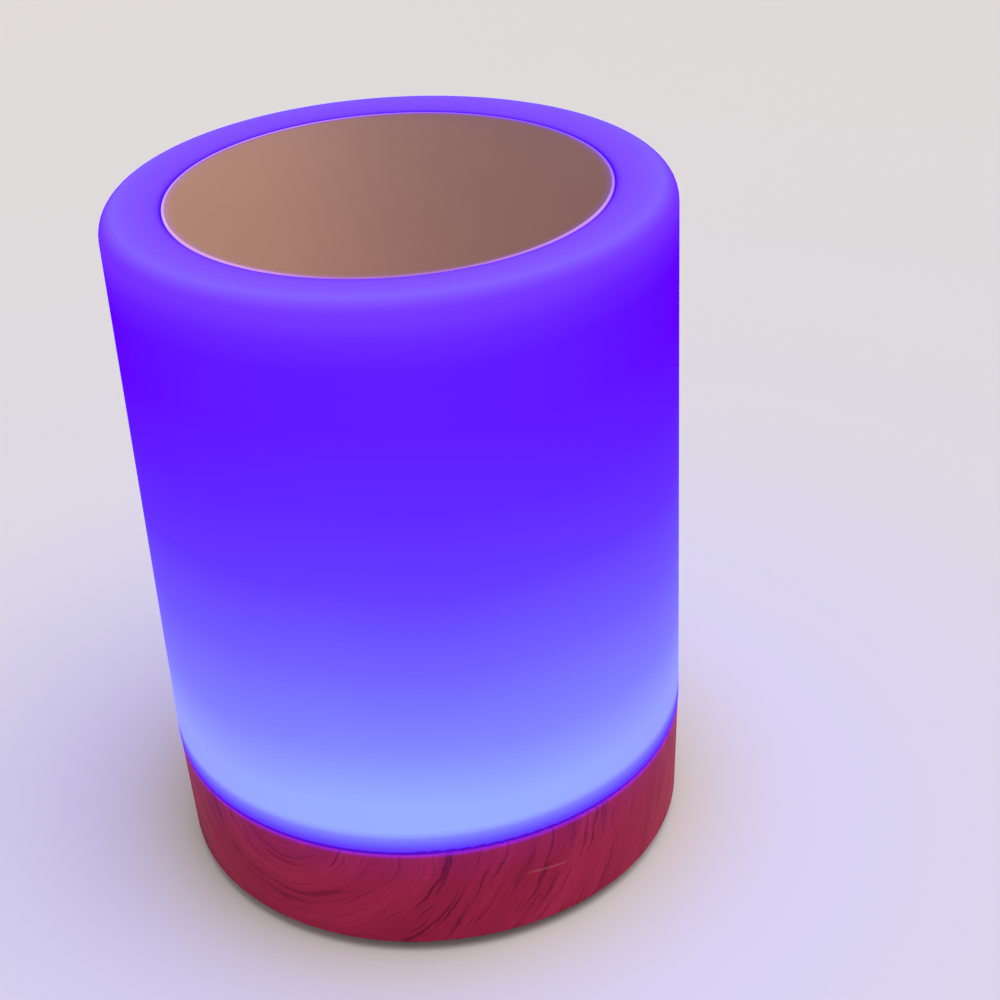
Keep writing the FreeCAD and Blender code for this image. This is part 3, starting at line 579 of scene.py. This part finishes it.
class LampFinishes(bpy.types.PropertyGroup):
    """Colours and amounts that a user would change."""

    # Painted light: the diffuser's milky plastic is given a violet colour that stands for its own
    # glow, so that light from the room does not wash it white.
    plastic: tint("Diffuser plastic", "Colour of the diffuser's own surface", 24, 6, 110)
    glow_foot: tint("Glow, foot", "Glow just above the light board", 152, 175, 255)
    glow_low: tint("Glow, low", "Glow a sixth of the way up", 129, 136, 255)
    glow_mid: tint("Glow, middle", "Glow half way up", 100, 62, 255)
    glow_high: tint("Glow, high", "Glow near the top", 95, 28, 255)
    # The shoulder's glow is lighter than the wall's below it: painted light from above on the
    # rounding, as well as the glow.
    shoulder_glow_and_light: tint("Glow, shoulder", "Glow where the wall turns into the rim", 117, 58, 255)
    emitter: tint("Emitters", "Colour of the lit emitters", 120, 90, 255)
    strength: bpy.props.FloatProperty(
        name="Glow strength",
        description="How strongly the diffuser's blue light shines",
        default=2.4,
        min=0.1,
    )
    cloud_mm: bpy.props.FloatProperty(
        name="Cloudiness",
        description="How far the glow drifts up and down, in millimetres",
        default=7.0,
    )
    wood_light: tint("Wood, light", "Lightest wood", 182, 42, 79)
    wood_mid: tint("Wood, middle", "Darker growth bands", 165, 32, 69)
    wood_dark: tint("Wood, fibre", "Fine dark fibres", 124, 18, 46)
    wood_pore: tint("Wood, pore", "Short dark strokes", 78, 4, 34)
    # The seam's painted shadow, and the painted glow below it.
    seam_shadow: tint("Seam shadow", "Shadow on the sleeve's topmost edge", 60, 0, 60)
    painted_seam_light: tint("Seam light", "Light on the sleeve's top edge", 91, 18, 200)
    wood_scratch: tint("Wood, scratch", "The faint scratch", 210, 130, 120)
    arch_flatness: bpy.props.FloatProperty(
        name="Arch flatness",
        description="Height of the grain's arches over their width",
        default=0.75,
        min=0.1,
    )
    plate: tint("Plate", "Satin face of the touch plate", 172, 117, 115)
    plate_shade: tint("Plate, shade", "Slow variation in the plate's face", 165, 111, 110)
    plate_painted_glow: tint("Plate haze", "Light that falls on the plate's edge", 50, 0, 148)
    # The bead's own dark colour; its brightness is painted in its highlights.
    plate_edge: tint("Plate edge", "Bright bead round the plate", 84, 58, 78)
    bead_thickness: bpy.props.FloatProperty(
        name="Bead",
        description="Thickness of the bright bead round the plate",
        default=0.46 * MM,
        unit="LENGTH",
    )

    def wall_glow(self):
        """Glow colours against height above the surface, in millimetres."""
        return [
            (23.0, self.glow_foot),
            (33.0, self.glow_foot),
            (45.0, self.glow_low),
            (60.5, screen(112, 98, 255)),
            (75.0, self.glow_mid),
            (89.5, screen(95, 41, 255)),
            (103.0, self.glow_high),
            (113.0, self.glow_high),
            (118.0, screen(103, 40, 255)),
            (122.0, self.shoulder_glow_and_light),
            (125.0, self.shoulder_glow_and_light),
        ]


class StageSettings(bpy.types.PropertyGroup):
    """The floor, the lights and the camera."""

    floor: tint("Floor", "Pale floor", 238, 234, 234)
    overhead: bpy.props.FloatProperty(
        name="Overhead light", description="Strength of the broad light from above", default=1.3
    )
    card_watts: bpy.props.FloatProperty(
        name="Card",
        description="Power of the dim card that the plate mirrors",
        default=1.68,
        subtype="POWER",
    )
    sky: bpy.props.FloatProperty(
        name="Surround", description="Brightness of the plain surround", default=0.46
    )
    haze: bpy.props.FloatProperty(
        name="Horizon",
        description="Brightness of the surround where it meets the floor",
        default=0.72,
    )
    camera_spot: bpy.props.FloatVectorProperty(
        name="Camera position",
        description="Where the camera stands",
        default=(0.0155, -0.2911, 0.2342),
        size=3,
        subtype="TRANSLATION",
        unit="LENGTH",
    )
    camera_down: bpy.props.FloatProperty(
        name="Camera tilt",
        description="How far it looks down",
        default=math.radians(30.34),
        subtype="ANGLE",
    )
    camera_roll: bpy.props.FloatProperty(
        name="Camera roll",
        description="How far it is rolled",
        default=math.radians(-3.08),
        subtype="ANGLE",
    )
    lens_mm: bpy.props.FloatProperty(
        name="Lens",
        description="Focal length in millimetres on a 36 mm sensor",
        default=67.4,
        unit="CAMERA",
    )


# Stage

# Where the lights point: the middle of the lamp's height.
AIM = (0.0, 0.0, 0.06)
CARD_TONE = (0.976, 1.0, 0.54)
SURROUND_TONE = (1.0, 0.98, 0.98, 1.0)
# How high above the horizon the surround has fallen from its haze to its sky, from 0 to 1.
HAZE_TOP = 0.3
FLOOR_RADIUS = 4.0


def hang_light(name, kind, spot, energy, colour=(1.0, 1.0, 1.0), **shape):
    """A soft light that faces the lamp."""
    data = bpy.data.lights.new(name, kind)
    data.energy = energy
    data.color = colour
    for setting, value in shape.items():
        setattr(data, setting, value)
    light = bpy.data.objects.new(name, data)
    light.location = spot
    towards = Vector(AIM) - Vector(spot)
    light.rotation_euler = towards.to_track_quat("-Z", "Y").to_euler()
    light.visible_camera = False
    bpy.context.scene.collection.objects.link(light)
    return light


def surround(stage):
    """A plain surround, brighter at the horizon so that it meets the floor without a line."""
    world = bpy.data.worlds.new("surround")
    world.use_nodes = True
    nodes, links = world.node_tree.nodes, world.node_tree.links
    way = nodes.new("ShaderNodeTexCoord")
    split = nodes.new("ShaderNodeSeparateXYZ")
    fall = nodes.new("ShaderNodeMapRange")
    fall.interpolation_type = "SMOOTHSTEP"
    ends = {"From Min": 0.0, "From Max": HAZE_TOP, "To Min": stage.haze, "To Max": stage.sky}
    for socket, value in ends.items():
        fall.inputs[socket].default_value = value
    links.new(way.outputs["Generated"], split.inputs[0])
    links.new(split.outputs["Z"], fall.inputs["Value"])
    links.new(fall.outputs[0], nodes["Background"].inputs["Strength"])
    nodes["Background"].inputs["Color"].default_value = SURROUND_TONE
    bpy.context.scene.world = world


# Operators


class Making(bpy.types.Operator):
    """What every operator here shares: it makes its pieces from one group of settings"""

    bl_options = {"REGISTER", "UNDO"}
    settings = "lamp_finishes"

    def execute(self, context):
        self.make(getattr(context.scene, self.settings))
        return {"FINISHED"}


class LAMP_OT_camera(Making):
    """Place the camera a little above the lamp and to its front"""

    bl_idname = "bedside_lamp.camera"
    bl_label = "Camera"
    settings = "lamp_stage"

    def make(self, stage):
        data = bpy.data.cameras.new("camera")
        data.lens = stage.lens_mm
        data.sensor_width = 36.0
        data.clip_start = 0.01
        camera = bpy.data.objects.new("camera", data)
        bpy.context.scene.collection.objects.link(camera)
        tilt = Matrix.Rotation(math.pi / 2 - stage.camera_down, 4, "X")
        roll = Matrix.Rotation(stage.camera_roll, 4, "Z")
        camera.matrix_world = Matrix.Translation(stage.camera_spot) @ tilt @ roll
        bpy.context.scene.camera = camera


class LAMP_OT_stage(Making):
    """Lay the pale floor and hang the soft lights"""

    bl_idname = "bedside_lamp.stage"
    bl_label = "Stage"
    settings = "lamp_stage"

    def make(self, stage):
        surface = Finish("floor", stage.floor, 0.8)
        bm = bmesh.new()
        bmesh.ops.create_circle(bm, cap_ends=True, segments=96, radius=FLOOR_RADIUS)
        mesh = bpy.data.meshes.new("floor")
        bm.to_mesh(mesh)
        bm.free()
        mesh.materials.append(surface.material)
        floor = bpy.data.objects.new("floor", mesh)
        bpy.context.scene.collection.objects.link(floor)
        width = math.radians(50)
        hang_light("overhead", "SUN", (0.3, -0.15, 1.2), stage.overhead, angle=width)
        spot = (-0.49, 1.10, 0.62)
        card = hang_light("plate_card", "AREA", spot, stage.card_watts, CARD_TONE, size=0.85)
        # Only glossy surfaces take its light, so it leaves no patch on the floor.
        card.visible_diffuse = False
        surround(stage)
        bpy.context.scene.view_settings.view_transform = "Standard"


class LAMP_OT_diffuser(Making):
    """Finish the milky diffuser with its glow"""

    bl_idname = "bedside_lamp.diffuser"
    bl_label = "Diffuser"

    def make(self, lamp):
        dress(diffuser_glow(lamp), "diffuser")


class LAMP_OT_touch_plate(Making):
    """Finish the touch plate and lay the bead round its edge, with painted highlights"""

    bl_idname = "bedside_lamp.touch_plate"
    bl_label = "Touch plate"

    def make(self, lamp):
        dress(satin_metal(lamp), "touch_plate")
        bm = bmesh.new()
        thick, proud, sunk = lamp.bead_thickness / 2, 0.08 * MM, 0.06 * MM
        radius, height = PLATE_HIGH.x + proud - thick, PLATE_HIGH.z - sunk
        outline = []
        for step in range(16):
            turn = 2 * math.pi * step / 16
            outline.append((radius + thick * math.cos(turn), height + thick * math.sin(turn)))
        lathe(bm, outline, steps=256)
        put("plate_bright_edge", bm, bead_painted_highlights(lamp))


class LAMP_OT_wood_base(Making):
    """Finish the wood-grain sleeve"""

    bl_idname = "bedside_lamp.wood_base"
    bl_label = "Wood base"

    def make(self, lamp):
        dress(wood_grain(lamp), "base_sleeve")


class LAMP_OT_chassis(Making):
    """Finish the chassis, the cover, the feet and the foam"""

    bl_idname = "bedside_lamp.chassis"
    bl_label = "Chassis and cover"

    def make(self, lamp):
        dark = moulded("dark_plastic", screen(40, 37, 40), 0.55, 4.0, 0.02)
        dress(dark, "base_chassis", "bottom_cover")
        dress(moulded("rubber", screen(28, 27, 28), 0.78, 6.0, 0.02), "rubber_feet")
        foam = moulded("foam_tape", screen(46, 46, 50), 0.9, 2.4, 0.06)
        dress(foam, "plate_gasket", "battery_pad")
        white = moulded("white_plastic", screen(236, 236, 230), 0.4)
        dress(white, "reflector_ring", "battery_plug", "light_plug")
        zinc = bare_metal("zinc_screw", screen(196, 196, 200), 0.28)
        dress(zinc, "led_board_screws", "control_board_screws")
        dress(bare_metal("black_screw", screen(44, 44, 48), 0.38), "cover_screws")


class LAMP_OT_touch_contact(Making):
    """Finish the spring, the rod and the clear column"""

    bl_idname = "bedside_lamp.touch_contact"
    bl_label = "Touch contact"

    def make(self, lamp):
        dress(clear_plastic(), "touch_column", "indicator_pipe")
        dress(bare_metal("brass", screen(214, 178, 98), 0.26, (1.0, 1.0, 0.1)), "contact_rod")
        dress(bare_metal("spring_steel", screen(176, 176, 180), 0.24), "touch_spring")
        dress(bare_metal("solder", screen(190, 190, 192), 0.3), "touch_solder")


class LAMP_OT_light_board(Making):
    """Finish the light board and its emitters"""

    bl_idname = "bedside_lamp.light_board"
    bl_label = "Light board"

    def make(self, lamp):
        white = circuit_board("white_board", screen(234, 235, 232), screen(206, 208, 204))
        dress(white, "led_board")
        dress(lit_emitter(lamp), "rgb_leds")
        dress(moulded("white_package", screen(238, 216, 128), 0.3), "white_leds", "indicator_led")


class LAMP_OT_control_board(Making):
    """Finish the control board and what is soldered to it"""

    bl_idname = "bedside_lamp.control_board"
    bl_label = "Control board"

    def make(self, lamp):
        green = circuit_board("green_board", screen(16, 84, 44), screen(52, 128, 70))
        dress(green, "control_board", "protection_board")
        black = moulded("chip_black", screen(26, 26, 28), 0.45, 6.0)
        dress(black, "control_chips", "socket_tongue")
        dress(moulded("ceramic_part", screen(176, 150, 112), 0.4), "small_parts")
        dress(moulded("ferrite", screen(52, 52, 56), 0.5), "power_inductor")
        can = bare_metal("capacitor_can", screen(208, 208, 212), 0.3, (1.0, 1.0, 0.2))
        dress(can, "filter_capacitors")


class LAMP_OT_socket_and_switch(Making):
    """Finish the charging socket and the power switch, and lay the socket's contacts"""

    bl_idname = "bedside_lamp.socket_and_switch"
    bl_label = "Socket and switch"

    def make(self, lamp):
        nickel = bare_metal("nickel_shell", screen(196, 196, 198), 0.22)
        dress(nickel, "charge_socket", "switch_body")
        dress(moulded("knob_plastic", screen(44, 42, 44), 0.42, 5.0), "switch_knob")
        bm = bmesh.new()
        pitch, half, eased = 0.65 * MM, 0.13 * MM, 0.02 * MM
        face = TONGUE_LOW.z + 0.65 * MM
        near, far = TONGUE_LOW.y + 1.3 * MM, TONGUE_HIGH.y - 0.3 * MM
        for step in range(5):
            x = (step - 2) * pitch
            block(bm, (x - half, near, face - 0.05 * MM), (x + half, far, face + eased), eased)
        gold = bare_metal("contact_gold", screen(226, 188, 96), 0.2)
        put("socket_contacts", bm, gold)


class LAMP_OT_battery(Making):
    """Finish the cell and the leads"""

    bl_idname = "bedside_lamp.battery"
    bl_label = "Cell and leads"

    def make(self, lamp):
        pouch = bare_metal("cell_pouch", screen(196, 198, 204), 0.34, scale=0.4)
        dress(pouch, "battery_cell")
        dress(insulation("wire_red", screen(196, 26, 22)), "battery_lead_red")
        dress(insulation("wire_black", screen(24, 24, 25)), "battery_lead_black")
        dress(insulation("wire_white", screen(226, 226, 220)), "light_leads", "touch_lead")


OPERATORS = [
    LAMP_OT_camera,
    LAMP_OT_stage,
    LAMP_OT_diffuser,
    LAMP_OT_touch_plate,
    LAMP_OT_wood_base,
    LAMP_OT_chassis,
    LAMP_OT_touch_contact,
    LAMP_OT_light_board,
    LAMP_OT_control_board,
    LAMP_OT_socket_and_switch,
    LAMP_OT_battery,
]


class LAMP_PT_making(bpy.types.Panel):
    """Lists the steps that finish the lamp"""

    bl_idname = "LAMP_PT_making"
    bl_label = "Bedside Lamp"
    bl_space_type = "VIEW_3D"
    bl_region_type = "UI"
    bl_category = "Bedside Lamp"

    def draw(self, context):
        column = self.layout.column(align=True)
        for operator in OPERATORS:
            column.operator(operator.bl_idname)
        for settings in (context.scene.lamp_finishes, context.scene.lamp_stage):
            box = self.layout.box()
            for name in settings.bl_rna.properties.keys():
                if name not in ("rna_type", "name"):
                    box.prop(settings, name)


CLASSES = [LampFinishes, StageSettings, *OPERATORS, LAMP_PT_making]


def register():
    for made in CLASSES:
        bpy.utils.register_class(made)
    bpy.types.Scene.lamp_finishes = bpy.props.PointerProperty(type=LampFinishes)
    bpy.types.Scene.lamp_stage = bpy.props.PointerProperty(type=StageSettings)


def unregister():
    del bpy.types.Scene.lamp_finishes
    del bpy.types.Scene.lamp_stage
    for made in reversed(CLASSES):
        bpy.utils.unregister_class(made)


def main():
    register()
    for operator in OPERATORS:
        group, name = operator.bl_idname.split(".")
        getattr(getattr(bpy.ops, group), name)()


if __name__ == "__main__":
    main()
